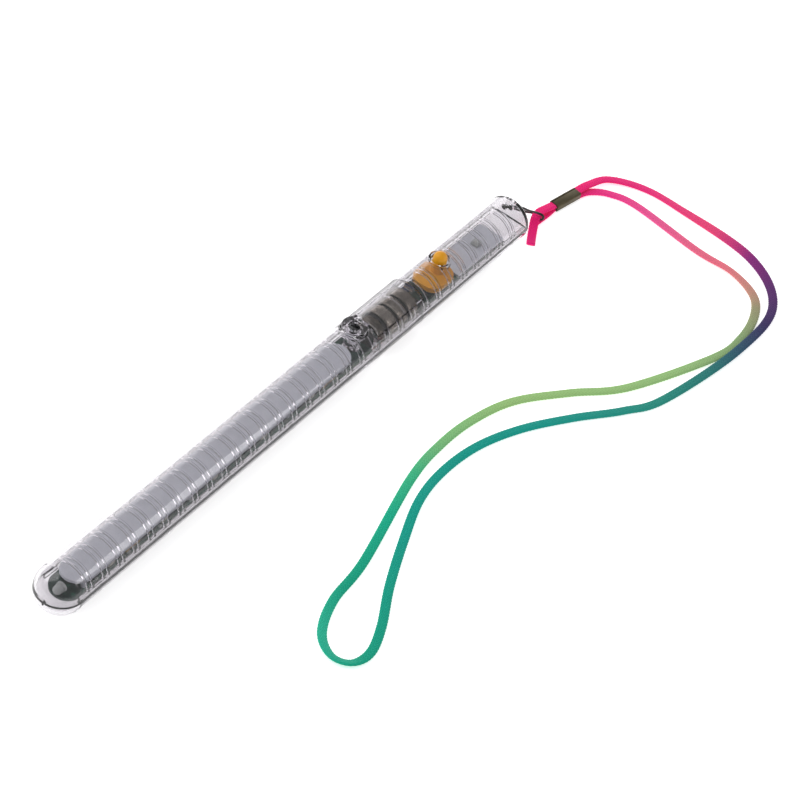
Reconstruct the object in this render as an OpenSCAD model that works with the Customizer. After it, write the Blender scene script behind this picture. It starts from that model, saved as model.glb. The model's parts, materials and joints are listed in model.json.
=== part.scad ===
// Clear flashing baton with a wrist lanyard.
// X runs along the barrel, the round tip is at -X and the lanyard end at +X.
// Z is up and the button points up. The origin is under the middle of the barrel,
// on the surface that it lies on. Millimetres.

/* [Barrel] */
// Length of the barrel from the round tip to the flat end
barrel_len = 230; // [205:1:290]
// Outside diameter of the barrel
barrel_d = 16; // [15.6:0.1:20]
// Thickness of the clear wall
wall = 1.2; // [0.9:0.05:1.4]
// Thickness of the wall across the flat end
end_wall = 1.5; // [1:0.1:2.5]
// Rounding round the flat end
end_round = 1.5; // [0.5:0.1:2.5]
// Height of the tongue that stands above the seam, inside the upper shell
tongue_h = 1; // [0.6:0.1:1.6]
// Thickness of that tongue
tongue_t = 0.6; // [0.4:0.05:0.7]

/* [Ribs] */
// Distance from one pair of ribs to the next
rib_pitch = 6.72; // [6:0.01:7.5]
// Distance between the two ribs of a pair
rib_gap = 2.04; // [1.5:0.01:2.6]
// Width of one rib
rib_w = 0.65; // [0.4:0.05:0.9]
// Height of a rib inwards from the wall
rib_h = 0.45; // [0.2:0.05:0.5]
// Distance from the round tip to the first rib
rib_start = 11.5; // [10:0.1:16]

/* [Circuit boards] */
// Width of both circuit boards
board_w = 11; // [9:0.1:11.4]
// Thickness of both circuit boards
board_t = 1; // [0.6:0.1:1.2]
// Depth of the boards' top face below the barrel's centre line
board_drop = 1; // [0.4:0.1:1.6]
// Distance from the round tip to the main board
main_board_in = 5.5; // [4.5:0.1:7]
// Length of the tail board
tail_board_len = 46; // [42:0.5:47]
// Width of the frosted light bar
bar_w = 10; // [8:0.1:10.4]
// Thickness of the frosted light bar
bar_t = 1; // [0.6:0.1:1.2]
// Height of the light bar's top face above the barrel's centre line
bar_rise = 3; // [2.6:0.1:3.4]
// Distance from the round tip to the light bar
bar_in = 9.5; // [8.5:0.1:12]
// Width of the tail reflector
reflector_w = 9.6; // [8:0.1:10.4]
// Length of the tail reflector
reflector_len = 25; // [15:0.5:26]

/* [Batteries] */
// Diameter of a button cell
cell_d = 11.6; // [9:0.1:11.8]
// Thickness of a button cell
cell_t = 5.4; // [4:0.1:5.8]
// Free length of the contact spring, squeezed
spring_len = 4.6; // [3.5:0.1:5]
// Wire diameter of the contact spring
spring_wire = 0.5; // [0.4:0.05:0.7]
// Distance from the flat end to the far side of the battery bay
bay_from_end = 59; // [58:0.5:64]
// Thickness of a wall across the battery bay
bulkhead_t = 1; // [0.8:0.1:1.5]

/* [Battery door] */
// Half of the angle that the door covers, from the top
door_half_angle = 46; // [38:1:50]
// Gap round the door
door_gap = 0.3; // [0.2:0.05:0.5]
// Diameter of the round ear that takes the screw
ear_d = 8.2; // [7.6:0.1:9.4]
// Diameter of the screw's shank
screw_d = 2; // [1.6:0.1:2.4]
// Diameter of the screw's head
screw_head_d = 3.8; // [3.2:0.1:4.4]
// Height of the screw's head
screw_head_h = 1.2; // [0.8:0.1:1.5]
// Sideways offset of the screw from the centre line
screw_side = 1; // [0:0.1:1.4]

/* [Button] */
// Diameter of the button's plunger
plunger_d = 4.7; // [3.6:0.1:5.2]
// Height of the plunger's tip above the barrel
plunger_proud = 2.8; // [1.5:0.05:4]
// Distance from the flat end to the plunger
plunger_from_end = 41.6; // [41:0.1:44]
// Length of the button's foot
foot_len = 13; // [12:0.1:14.6]
// Width of the button's foot
foot_w = 10.4; // [8:0.1:10.8]
// Thickness of the button's foot
foot_t = 2; // [1.4:0.1:2.4]
// How far the foot reaches past the plunger towards the lanyard
foot_ahead = 4; // [3.2:0.1:4.2]
// Clearance round the plunger
plunger_gap = 0.8; // [0.5:0.05:1]
// Wall of the clear collar round the plunger
guide_wall = 0.6; // [0.5:0.05:0.8]
// Travel of the button
press_travel = 0.5; // [0.3:0.05:0.6]
// Side of the square switch body
switch_side = 6; // [5:0.1:6.4]
// Height of the switch body
switch_h = 1.2; // [0.9:0.1:1.3]
// Diameter of the switch's own plunger
switch_pin_d = 3; // [2:0.1:3.5]

/* [Lanyard] */
// Width of the flat strap
strap_w = 3; // [2.4:0.1:3.4]
// Thickness of the flat strap
strap_t = 1; // [0.7:0.1:1.1]
// Wire diameter of the ring
ring_wire = 0.8; // [0.6:0.05:1]
// Diameter of the two holes that the ring runs through
ring_hole_d = 2; // [1.6:0.1:2.4]
// Length of the crimped ferrule
ferrule_len = 11.4; // [9:0.1:12]
// Width of the ferrule
ferrule_w = 3.8; // [3.6:0.1:4.6]
// Height of the ferrule
ferrule_h = 2.6; // [2.4:0.1:3.4]

/* [Hidden] */

// Fineness of round shapes
$fn = 72;
hull_fn = 32;
eps = 0.01;

// Radii about the barrel's centre line, which is barrel_d / 2 above the surface
r_out = barrel_d / 2;
r_in = r_out - wall;
r_rib = r_in - rib_h;
axis_z = r_out;
tip_x = -barrel_len / 2;
end_x = barrel_len / 2;

// Fits
fit_gap = 0.1;        // between parts that are set into each other
seat_gap = 0.05;      // between parts that rest against each other and move
tongue_r = r_in - fit_gap;

// Levels of the boards, the bar and the button
board_top = axis_z - board_drop;
board_under = board_top - board_t;
bar_top = axis_z + bar_rise;
switch_top = board_top + switch_h;
foot_under = switch_top + press_travel + 0.2;
foot_top = foot_under + foot_t;
guide_under = axis_z + r_in - 0.3;
switch_pin_top = foot_under - seat_gap;

// Places along the barrel
bay_end = end_x - bay_from_end;
contact_t = 0.35;
cells_end = bay_end - contact_t;
cells_start = cells_end - 3 * cell_t;
bay_start = cells_start - spring_len - contact_t;
door_start = bay_start - bulkhead_t;
door_end = bay_end + bulkhead_t;
ear_r = ear_d / 2;
ear_neck = ear_d * 0.7;
ear_x = door_start - ear_r + 0.3;
plunger_x = end_x - plunger_from_end;
foot_end = plunger_x + foot_ahead;
foot_mid = foot_end - foot_len / 2;
tail_board_start = bay_end + bulkhead_t + 1.2;
tail_board_end = tail_board_start + tail_board_len;
main_board_start = tip_x + main_board_in;
main_board_end = bay_start - bulkhead_t - 0.4;
bar_start = tip_x + bar_in;
post_d = 5;
bar_end = ear_x - post_d / 2 - 3;
reflector_start = tail_board_end - reflector_len;

// The door's screw: it stands in a clear post on the lower shell
post_top = axis_z + 4.4;
screw_hole_r = screw_d / 2 + 0.4;
screw_seat = axis_z + 6.4;
ear_top = axis_z + r_out - 0.1;
screw_tip = post_top - 2.2;

// Rib pairs that fit between the tip and the flat end
rib_count = floor((barrel_len - rib_start - rib_gap - rib_w - end_wall - 3) / rib_pitch) + 1;

// ---- helpers ----

// Turns a shape made along Z so that it lies along X at the barrel's centre line
module along_barrel(x = 0) {
  translate([x, 0, axis_z]) rotate([0, 90, 0]) children();
}

// Outline of half the barrel, grown by extra, with the axis on the left
module barrel_outline(shrink = 0, end_shrink = 0) {
  r = r_out - shrink;
  len = barrel_len - shrink - end_shrink;
  round_r = max(0.3, end_round - shrink);
  translate([0, shrink]) intersection() {
    square([r, len]);
    union() {
      translate([0, r]) circle(r);
      translate([0, r]) square([r, len - shrink - r - round_r]);
      translate([0, r]) square([r - round_r, len - shrink - r]);
      translate([r - round_r, len - shrink - round_r]) circle(round_r, $fn = hull_fn);
    }
  }
}

// A solid of revolution between two radii and two places along the barrel
module ring_between(x0, x1, r0, r1) {
  along_barrel(x0) difference() {
    cylinder(h = x1 - x0, r = r1);
    translate([0, 0, -eps]) cylinder(h = x1 - x0 + 2 * eps, r = r0);
  }
}

// A wedge about the centre line that reaches half_angle each way from the top
module top_wedge(x0, x1, half_angle, inner_r, outer_r) {
  reach = outer_r + 2;
  intersection() {
    ring_between(x0, x1, inner_r, outer_r);
    translate([x0, 0, axis_z]) rotate([90, 0, 90]) linear_extrude(x1 - x0)
      polygon([[0, 0],
               [reach * sin(half_angle), reach * cos(half_angle)],
               [reach * sin(half_angle), reach + 1],
               [-reach * sin(half_angle), reach + 1],
               [-reach * sin(half_angle), reach * cos(half_angle)]]);
  }
}

// Flat bar with round ends, lying in the XY plane
module round_bar(x0, x1, w, z0, h) {
  translate([x0 + w / 2, 0, z0]) cylinder(h = h, d = w);
  translate([x1 - w / 2, 0, z0]) cylinder(h = h, d = w);
  translate([x0 + w / 2, -w / 2, z0]) cube([x1 - x0 - w, w, h]);
}

// ---- barrel ----

// Outline of the door's ear and of its neck, seen from above
module ear_outline(grow = 0) {
  translate([ear_x, screw_side]) circle(ear_r + grow);
  translate([ear_x, screw_side - ear_neck / 2 - grow]) square([door_start - ear_x + 0.5, ear_neck + 2 * grow]);
}

module door_opening(gap) {
  top_wedge(door_start - gap, door_end + gap, door_half_angle + gap * 8, r_rib - 1, r_out + 1);
  translate([0, 0, axis_z + r_rib - 2]) linear_extrude(r_out) ear_outline(gap);
}

module guide_collar() {
  translate([plunger_x, 0, guide_under])
    cylinder(h = axis_z + r_out + 0.25 - guide_under, r = plunger_d / 2 + plunger_gap + guide_wall);
}

// The wall of one shell, spun half a turn: the upper one starts at turn = 90
module half_wall(turn) {
  along_barrel(tip_x) rotate([0, 0, turn]) rotate_extrude(angle = 180) difference() {
    barrel_outline();
    barrel_outline(wall, end_wall - wall);
  }
}

// Room for the lower shell's tongue, inside the upper shell on both sides of the seam
module tongue_relief() {
  intersection() {
    ring_between(tip_x + r_out, end_x - end_wall, r_rib - 1, r_in + fit_gap);
    translate([tip_x, -r_out, axis_z - 1]) cube([barrel_len, barrel_d, 1 + tongue_h + 2 * fit_gap]);
  }
}

// All the ribs as one comb, which the tongue's relief cuts off on both sides
module ribs() {
  half_angle = acos(tongue_h / 2 / r_rib);
  starts = [for (k = [0 : rib_count - 1], second = [0, 1]) rib_start + k * rib_pitch + second * rib_gap - rib_w / 2];
  root = r_in + wall / 4;
  comb = concat([[root, starts[0]]],
    [for (s = starts) each [[r_in + eps, s], [r_rib, s], [r_rib, s + rib_w], [r_in + eps, s + rib_w]]],
    [[root, starts[len(starts) - 1] + rib_w]]);
  along_barrel(tip_x) rotate([0, 0, 180 - half_angle]) rotate_extrude(angle = 2 * half_angle) polygon(comb);
}

module upper_shell() {
  color([0.9, 0.91, 0.93, 0.35]) difference() {
    union() {
      half_wall(90);
      ribs();
      guide_collar();
    }
    tongue_relief();
    door_opening(door_gap);
    translate([plunger_x, 0, guide_under - 1]) cylinder(h = r_out * 2, r = plunger_d / 2 + plunger_gap);
    ring_holes();
  }
}

// Cross walls in the lower shell that carry the boards, from its floor to the boards' underside
module board_rest(x) {
  intersection() {
    along_barrel(x - 0.5) cylinder(h = 1, r = r_in + 0.2);
    translate([x - 2, -r_out, 0]) cube([4, barrel_d, board_under]);
  }
}

module bulkhead(x) {
  intersection() {
    along_barrel(x) cylinder(h = bulkhead_t, r = r_in - fit_gap - 0.1);
    translate([x - 1, -r_out, 0]) cube([bulkhead_t + 2, barrel_d, axis_z + 3.6]);
  }
  intersection() {
    along_barrel(x) cylinder(h = bulkhead_t, r = r_in + 0.2);
    translate([x - 1, -r_out, 0]) cube([bulkhead_t + 2, barrel_d, axis_z - 0.4]);
  }
}

module screw_post() {
  difference() {
    intersection() {
      translate([ear_x, screw_side, wall / 2]) cylinder(h = post_top - wall / 2, d = post_d);
      along_barrel(ear_x - post_d) cylinder(h = 2 * post_d, r = r_in + 0.2);
    }
    translate([ear_x, screw_side, screw_tip - 1]) cylinder(h = r_out, r = screw_hole_r);
  }
}

rest_places = [for (i = [0 : 4]) tip_x + 18 + i * (main_board_end - main_board_start - 26) / 4];

module lower_shell() {
  color([0.9, 0.91, 0.93, 0.35]) difference() {
    union() {
      half_wall(-90);
      // Tongue along both edges: its root is in the lower wall
      intersection() {
        ring_between(tip_x + r_out, end_x - end_wall - 1, tongue_r - tongue_t, tongue_r);
        translate([tip_x, -r_out, axis_z - 1.2]) cube([barrel_len, barrel_d, 1.2 + tongue_h]);
      }
      intersection() {
        ring_between(tip_x + r_out, end_x - end_wall - 1, tongue_r - tongue_t, r_in + 0.2);
        translate([tip_x, -r_out, axis_z - 1.2]) cube([barrel_len, barrel_d, 1.2]);
      }
      for (x = rest_places) board_rest(x);
      board_rest(tail_board_start + 4);
      board_rest(tail_board_end - 4);
      bulkhead(bay_start - bulkhead_t);
      bulkhead(bay_end);
      screw_post();
    }
    ring_holes();
    link_notches();
  }
}

// ---- battery door ----

module battery_door() {
  tongue_w = 3.2;
  door_hook = axis_z + sqrt(r_rib * r_rib - tongue_w * tongue_w / 4) - 0.95;
  color([0.88, 0.89, 0.92, 0.35]) difference() {
    union() {
      top_wedge(door_start, door_end, door_half_angle, r_in, r_out);
      translate([0, 0, post_top + 0.2]) linear_extrude(ear_top - post_top - 0.2) ear_outline();
      // Rib across the door between the second and the third cell
      top_wedge(bay_end - 7.6, bay_end - 7, door_half_angle, r_in - 0.4, r_in + 0.1);
      // Tongue that hooks under the upper shell
      translate([door_end - 0.45, -tongue_w / 2, door_hook]) cube([0.45, tongue_w, axis_z + r_in + 0.1 - door_hook]);
      translate([door_end - 0.45, -tongue_w / 2, door_hook]) cube([2.05, tongue_w, 0.8]);
    }
    translate([ear_x, screw_side, 0]) cylinder(h = 3 * r_out, r = screw_hole_r);
    translate([ear_x, screw_side, screw_seat]) cylinder(h = r_out, r = screw_head_d / 2 + 0.15);
    // Hollow under the ear, over the post
    translate([ear_x, screw_side, 0]) cylinder(h = screw_seat - 0.9, r = post_d / 2 + 0.4);
  }
}

module door_screw() {
  slot_w = 0.6;
  slot_l = 2.4;
  color([0.35, 0.35, 0.37]) difference() {
    union() {
      translate([ear_x, screw_side, screw_tip]) cylinder(h = screw_seat - screw_tip + eps, d = screw_d);
      translate([ear_x, screw_side, screw_seat]) cylinder(h = screw_head_h, d = screw_head_d);
    }
    for (a = [0, 90])
      translate([ear_x, screw_side, screw_seat + screw_head_h - 0.7]) rotate([0, 0, a])
        translate([-slot_l / 2, -slot_w / 2, 0]) cube([slot_l, slot_w, 2]);
  }
}

// ---- button and its switch ----

module button() {
  dome_r = plunger_d / 2;
  dome_z = axis_z + r_out + plunger_proud - dome_r;
  corner = 4;
  color([0.85, 0.62, 0.05]) {
    translate([plunger_x, 0, foot_top - eps]) cylinder(h = dome_z - foot_top + eps, r = dome_r);
    intersection() {
      translate([plunger_x, 0, dome_z]) sphere(dome_r);
      translate([plunger_x - 5, -5, dome_z - eps]) cube(10);
    }
    translate([foot_mid, 0, foot_under]) linear_extrude(foot_t) intersection() {
      square([foot_len, foot_w], center = true);
      union() {
        square([foot_len - 2 * corner, foot_w], center = true);
        square([foot_len, foot_w - 2 * corner], center = true);
        for (x = [-1, 1], y = [-1, 1])
          translate([x * (foot_len / 2 - corner), y * (foot_w / 2 - corner)]) circle(corner);
      }
    }
  }
}

module switch_body() {
  color([0.15, 0.15, 0.16]) difference() {
    translate([plunger_x - switch_side / 2, -switch_side / 2, board_top]) cube([switch_side, switch_side, switch_h]);
    translate([plunger_x, 0, board_top + 0.4]) cylinder(h = switch_h, r = switch_pin_d / 2 + 0.1);
  }
}

module switch_plunger() {
  pin_under = board_top + 0.4 + press_travel + seat_gap;
  color([0.2, 0.2, 0.2]) translate([plunger_x, 0, pin_under])
    cylinder(h = switch_pin_top - pin_under, d = switch_pin_d);
}

// ---- boards and what is on them ----

module main_board() {
  color([0.08, 0.3, 0.22]) difference() {
    intersection() {
      round_bar(main_board_start, main_board_end + board_w / 2, board_w, board_under, board_t);
      translate([tip_x, -r_out, 0]) cube([main_board_end - tip_x, barrel_d, barrel_d]);
    }
    translate([ear_x, screw_side, 0]) cylinder(h = barrel_d, r = post_d / 2 + 0.4);
  }
}

module tail_board() {
  color([0.08, 0.3, 0.22])
    translate([tail_board_start, -board_w / 2, board_under]) cube([tail_board_len, board_w, board_t]);
}

led_first = tip_x + 25;
led_pitch = (bar_end - 21 - led_first) / 4;

// The light bar's legs stand between the LEDs
bar_legs = [led_first - 11.6, led_first + 1.5 * led_pitch, led_first + 3.5 * led_pitch, bar_end - 5.5];

module light_bar() {
  leg_d = 1.6;
  color([0.72, 0.76, 0.8, 0.8]) {
    round_bar(bar_start, bar_end, bar_w, bar_top - bar_t, bar_t);
    for (x = bar_legs, side = [-1, 1])
      translate([x, side * (bar_w / 2 - 1.4), board_top]) cylinder(h = bar_top - bar_t - board_top + eps, d = leg_d);
  }
}

module tail_reflector() {
  color([0.75, 0.77, 0.8])
    translate([reflector_start, -reflector_w / 2, board_top]) cube([reflector_len, reflector_w, 0.9]);
}

// A small clear LED: a square base with a lens
module led(x, y, z) {
  color([0.95, 0.95, 0.9]) translate([x, y, z]) {
    translate([-1.4, -1.4, 0]) cube([2.8, 2.8, 0.9]);
    translate([0, 0, 0.9 - eps]) cylinder(h = 0.7, d = 2.2);
  }
}

led_y = -board_w / 2 + 2.6;

// The LED in the tip lies along the barrel and its dome points out
module tip_led() {
  led_d = 3;
  led_x = main_board_start + 3.2;
  color([0.9, 0.9, 0.88, 0.6]) intersection() {
    along_barrel(led_x - 3.4) {
      translate([0, 0, led_d / 2]) cylinder(h = 3.4 - led_d / 2, d = led_d);
      translate([0, 0, led_d / 2]) sphere(d = led_d);
      translate([0, 0, 2.6]) cylinder(h = 0.8, d = led_d + 0.5);
    }
    translate([tip_x, -r_out, board_top]) cube(barrel_d);
  }
}

module driver_chip() {
  color([0.06, 0.06, 0.07]) intersection() {
    translate([led_first + 2.5 * led_pitch, 0, board_top - 4.2]) sphere(6);
    translate([tip_x, -r_out, board_top]) cube([barrel_len, barrel_d, barrel_d]);
  }
}

// A leaded resistor lying along the board
module resistor(x, y) {
  body_len = 6;
  body_d = 1.8;
  lead_d = 0.5;
  z = board_top + body_d / 2;
  color([0.76, 0.68, 0.5]) {
    translate([x - body_len / 2, y, z]) rotate([0, 90, 0]) cylinder(h = body_len, d = body_d);
    translate([x - body_len / 2 - 2, y, z]) rotate([0, 90, 0]) cylinder(h = body_len + 4, d = lead_d);
    for (side = [-1, 1])
      translate([x + side * (body_len / 2 + 2 - lead_d / 2), y, board_top]) cylinder(h = body_d / 2, d = lead_d);
  }
}

module capacitor() {
  color([0.1, 0.12, 0.2]) translate([tail_board_start + 2.4, 3, board_top]) cylinder(h = 2.2, d = 2.6);
}

// ---- battery bay ----

module cell(i) {
  start = cells_start + i * cell_t;
  cap_t = 1.1;
  cap_d = cell_d - 2.4;
  color([0.62, 0.62, 0.6]) along_barrel(start) {
    translate([0, 0, cap_t - eps]) cylinder(h = cell_t - cap_t + eps, d = cell_d);
    cylinder(h = cap_t, d = cap_d);
  }
}

spring_turns = 3;

// Each turn is a ring, and the rings grow towards the plate
module contact_spring() {
  first = bay_start + contact_t + spring_wire / 2;
  last = cells_start - spring_wire / 2;
  color([0.75, 0.75, 0.75]) {
    for (i = [0 : spring_turns])
      along_barrel(first + i * (last - first) / spring_turns)
        rotate_extrude() translate([3.6 - i * 0.5, 0]) circle(d = spring_wire, $fn = 16);
    for (i = [0 : spring_turns - 1])
      translate([first + i * (last - first) / spring_turns, 0, axis_z + (i % 2 == 0 ? 1 : -1) * (3.35 - i * 0.5)])
        rotate([0, 90, 0]) cylinder(h = (last - first) / spring_turns, d = spring_wire, $fn = 16);
  }
}

module plate(x) {
  translate([x, -4, axis_z - 4]) cube([contact_t, 8, 7.4]);
}

module spring_plate() {
  color([0.78, 0.78, 0.78]) plate(bay_start);
}

module contact_plate() {
  color([0.78, 0.78, 0.78]) plate(bay_end - contact_t);
}

link_wire_d = 0.7;
link_r = r_in - 0.55;
link_angle = 150;
link_y = link_r * sin(link_angle);
link_z = axis_z + link_r * cos(link_angle);
link_start = bay_start - bulkhead_t - 1.4;
link_end = tail_board_start + 2;

// One link wire: along the floor under the cells, and up to a board at both ends
module link_wire(side) {
  translate([link_start, side * link_y, link_z]) rotate([0, 90, 0])
    cylinder(h = link_end - link_start, d = link_wire_d, $fn = 24);
  for (x = [link_start + link_wire_d / 2, link_end - link_wire_d / 2])
    translate([x, side * link_y, link_z]) cylinder(h = board_under - link_z, d = link_wire_d - 0.1, $fn = 24);
}

// The notches that the link wires pass through in the cross walls
module link_notches() {
  notch = link_wire_d + 0.5;
  for (side = [-1, 1])
    translate([link_start - 1, side * link_y - notch / 2, link_z - link_wire_d / 2 - 0.1])
      cube([link_end - link_start + 2, notch, notch]);
}

module link_wire_red() {
  color([0.75, 0.1, 0.08]) link_wire(-1);
}

module link_wire_black() {
  color([0.05, 0.05, 0.05]) link_wire(1);
}

// ---- lanyard ----

// Two holes in the end wall, measured from the flat end's centre
hole_a = [0.1, 4.15];
hole_b = [2.25, 2.95];

module ring_holes() {
  for (p = [hole_a, hole_b])
    translate([end_x - end_wall - 2, p[0], axis_z + p[1]]) rotate([0, 90, 0]) cylinder(h = end_wall + 4, d = ring_hole_d);
}

// Turns a list of points into a smooth run of points, with n steps between two points
function spline(p, n) = [
  for (i = [0 : len(p) - 2]) let (
    a = p[max(i - 1, 0)], b = p[i], c = p[i + 1], d = p[min(i + 2, len(p) - 1)])
  for (k = [0 : n - 1]) let (t = k / n)
    0.5 * ((2 * b) + (c - a) * t + (2 * a - 5 * b + 4 * c - d) * t * t + (3 * b - a - 3 * c + d) * t * t * t),
  p[len(p) - 1]
];

function unit(v) = v / norm(v);
function xyz(p) = [p[0], p[1], p[2]];

// One eight-sided ring of a flat cord at p, which runs along dir and leans over by lean degrees
function cord_ring(p, dir, lean, w, t, flat = [0, 0, 1]) = let (
  side = unit(cross(flat, dir)),
  up = unit(cross(dir, side)),
  across = side * cos(lean) + up * sin(lean),
  over = up * cos(lean) - side * sin(lean))
  [for (a = [22.5 : 45 : 359]) p + across * (w / 2) * cos(a) / cos(22.5) + over * (t / 2) * sin(a) / sin(67.5)];

// A closed tube along a list of [x, y, z, lean]
module flat_cord(route, w, t) {
  n = len(route);
  rings = [for (i = [0 : n - 1])
    cord_ring(xyz(route[i]), unit(xyz(route[min(i + 1, n - 1)]) - xyz(route[max(i - 1, 0)])), route[i][3], w, t)];
  sides = [for (i = [0 : n - 2], j = [0 : 7])
    [i * 8 + j, (i + 1) * 8 + j, (i + 1) * 8 + (j + 1) % 8, i * 8 + (j + 1) % 8]];
  polyhedron([for (r = rings) each r],
    concat([[for (j = [0 : 7]) j]], sides, [[for (j = [7 : -1 : 0]) (n - 1) * 8 + j]]), convexity = 10);
}

// The strap from the ferrule, round the wrist loop and back: x, y, z and lean
strap_route = [
  [148.1, -5.8, 2, 0], [154, -6.9, 2, 0], [162, -10, 1.4, 0], [168, -20, 0.6, 0], [169, -34, 0.6, 0],
  [166, -65, 1.2, 40], [151, -83, 1.8, 10], [125, -85.5, 1.7, 0], [90, -80, 0.6, 0], [76, -73.5, 0.7, 0],
  [62, -64, 0.6, 0], [46, -55, 0.6, 0], [30, -49.5, 0.6, 0], [14, -48, 0.6, 0], [-1, -50, 0.8, 10],
  [-17, -56, 0.6, 0], [-34, -63.5, 0.6, 0], [-48, -71, 0.6, 0], [-58, -74.5, 0.7, 0], [-65, -73, 1.1, 20],
  [-67, -67, 1.1, 20], [-62, -60, 0.8, 10], [-50, -55, 0.6, 0], [-32, -52.5, 0.6, 0], [4, -43, 0.6, 0],
  [22, -41, 0.6, 0], [38, -42, 0.6, 0], [54, -46.5, 0.6, 0], [70, -57, 0.6, 0], [86, -69, 0.6, 0],
  [118, -81.5, 0.6, 0], [132, -83, 0.6, 0], [144, -80.5, 0.6, 0], [152, -75, 0.6, 0], [156, -64, 0.8, 10],
  [156, -50, 0.6, 0], [159, -24, 0.6, 0], [157, -14, 0.6, 0], [152.6, -8.6, 0.7, 0], [148.2, -6.7, 0.8, 0]
];

module strap() {
  color([0.1, 0.7, 0.55]) flat_cord(spline(strap_route, 2), strap_w, strap_t);
}

// The crimp: its left end is at the strap's start
ferrule_at = [148, -6.2, 1.4];
ferrule_turn = 171;

module ferrule() {
  color([0.3, 0.27, 0.2]) translate(ferrule_at) rotate([0, 0, ferrule_turn]) rotate([90, 0, 90]) linear_extrude(ferrule_len)
    intersection() {
      square([ferrule_w, ferrule_h], center = true);
      circle(d = ferrule_w * 1.06);
    }
}

tail_route = [[136.6, -4.4, 2, 0], [133, -3.8, 2.4, 0], [129.6, -3.3, 2.7, 0], [126.4, -3.9, 2.6, 0],
  [123.2, -5.5, 1.4, 0], [119.8, -7.4, 0.6, 0], [116.5, -9.3, 0.6, 0]];
tuck_route = [[136.1, -4.4, 0.8, 0], [133.5, -4.5, 0.7, 0], [130.5, -4.4, 0.6, 0], [126.5, -4.2, 0.6, 0]];

module strap_tail() {
  color([1, 0.1, 0.45]) flat_cord(spline(tail_route, 2), strap_w, strap_t);
}

module strap_tuck() {
  color([1, 0.1, 0.45]) flat_cord(spline(tuck_route, 2), strap_w, strap_t);
}

// The wire ring's closed path through both holes and out to the strap
ring_route = [
  [end_x - end_wall - 0.4, 0.35, axis_z + 4.45], [end_x, -0.05, axis_z + 4], [end_x + 3, -0.95, axis_z + 2.7],
  [end_x + 8, -2.9, axis_z - 1], [end_x + 12.2, -4.6, axis_z - 3.8], [end_x + 12.9, -5.4, axis_z - 4.4],
  [end_x + 13.1, -5.8, axis_z - 5.3], [end_x + 13, -5.6, axis_z - 6.1], [end_x + 12.9, -4.9, axis_z - 6.4],
  [end_x + 13.1, -3.4, axis_z - 6.4], [end_x + 13.2, -2.1, axis_z - 6.2], [end_x + 12.6, -1.4, axis_z - 5.7],
  [end_x + 11.2, -0.9, axis_z - 5], [end_x + 8.4, -0.1, axis_z - 3.1], [end_x + 5.5, 0.6, axis_z - 1],
  [end_x + 2.5, 1.4, axis_z + 1.3], [end_x, 2.15, axis_z + 2.8], [end_x - end_wall - 0.4, 2.5, axis_z + 3.3],
  [end_x - end_wall - 1.1, 2, axis_z + 3.9], [end_x - end_wall - 1.2, 1.1, axis_z + 4.4]
];

module wire_ring() {
  n = len(ring_route);
  function at(i) = ring_route[(i + n) % n];
  rings = [for (i = [0 : n - 1]) cord_ring(at(i), unit(at(i + 1) - at(i - 1)), 0, ring_wire, ring_wire, [0, 1, 0])];
  sides = [for (i = [0 : n - 1], j = [0 : 7])
    [i * 8 + j, ((i + 1) % n) * 8 + j, ((i + 1) % n) * 8 + (j + 1) % 8, i * 8 + (j + 1) % 8]];
  color([0.2, 0.2, 0.2]) polyhedron([for (r = rings) each r], sides, convexity = 10);
}

// ---- what is drawn ----

upper_shell();
lower_shell();
battery_door();
door_screw();
button();
switch_body();
switch_plunger();
main_board();
tail_board();
light_bar();
tail_reflector();
tip_led();
led(led_first, led_y, board_top);  // led_1
led(led_first + led_pitch, led_y, board_top);  // led_2
led(led_first + 2 * led_pitch, led_y, board_top);  // led_3
led(led_first + 3 * led_pitch, led_y, board_top);  // led_4
led(led_first + 4 * led_pitch, led_y, board_top);  // led_5
led(tail_board_end - 9, 0, board_top + 0.9);  // tail_led
driver_chip();
resistor(led_first + 9, led_y - 0.8);  // resistor_1
resistor(led_first + 4 * led_pitch + 8, led_y - 0.8);  // resistor_2
capacitor();
cell(0);  // cell_1
cell(1);  // cell_2
cell(2);  // cell_3
contact_spring();
spring_plate();
contact_plate();
link_wire_red();
link_wire_black();
wire_ring();
ferrule();
strap();
strap_tail();
strap_tuck();
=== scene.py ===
import json
import math

import bmesh
import bpy
import numpy as np
from mathutils import Matrix, Quaternion, Vector

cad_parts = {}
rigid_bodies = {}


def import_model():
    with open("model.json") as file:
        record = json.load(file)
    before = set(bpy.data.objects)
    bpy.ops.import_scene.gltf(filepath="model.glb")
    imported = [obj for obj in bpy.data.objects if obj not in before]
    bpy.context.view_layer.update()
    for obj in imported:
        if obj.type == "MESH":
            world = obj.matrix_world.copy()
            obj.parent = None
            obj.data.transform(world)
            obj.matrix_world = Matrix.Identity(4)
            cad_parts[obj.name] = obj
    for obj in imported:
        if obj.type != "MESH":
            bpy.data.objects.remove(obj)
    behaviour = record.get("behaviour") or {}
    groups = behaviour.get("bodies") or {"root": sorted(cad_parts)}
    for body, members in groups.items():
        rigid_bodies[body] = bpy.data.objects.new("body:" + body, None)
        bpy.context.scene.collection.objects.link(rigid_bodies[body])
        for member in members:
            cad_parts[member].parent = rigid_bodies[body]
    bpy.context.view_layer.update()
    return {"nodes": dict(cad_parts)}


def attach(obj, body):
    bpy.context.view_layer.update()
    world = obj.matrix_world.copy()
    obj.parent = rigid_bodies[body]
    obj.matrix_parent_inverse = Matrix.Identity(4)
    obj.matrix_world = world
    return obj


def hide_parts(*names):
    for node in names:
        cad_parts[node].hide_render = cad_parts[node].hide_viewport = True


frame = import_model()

mm = 0.001


# ---- The view ----
# A long lens looks down the barrel from above its round tip, and the camera is
# tipped a little to one side, so that the barrel runs up to the right.

def deselect():
    for thing in bpy.context.scene.objects:
        thing.select_set(False)


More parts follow.
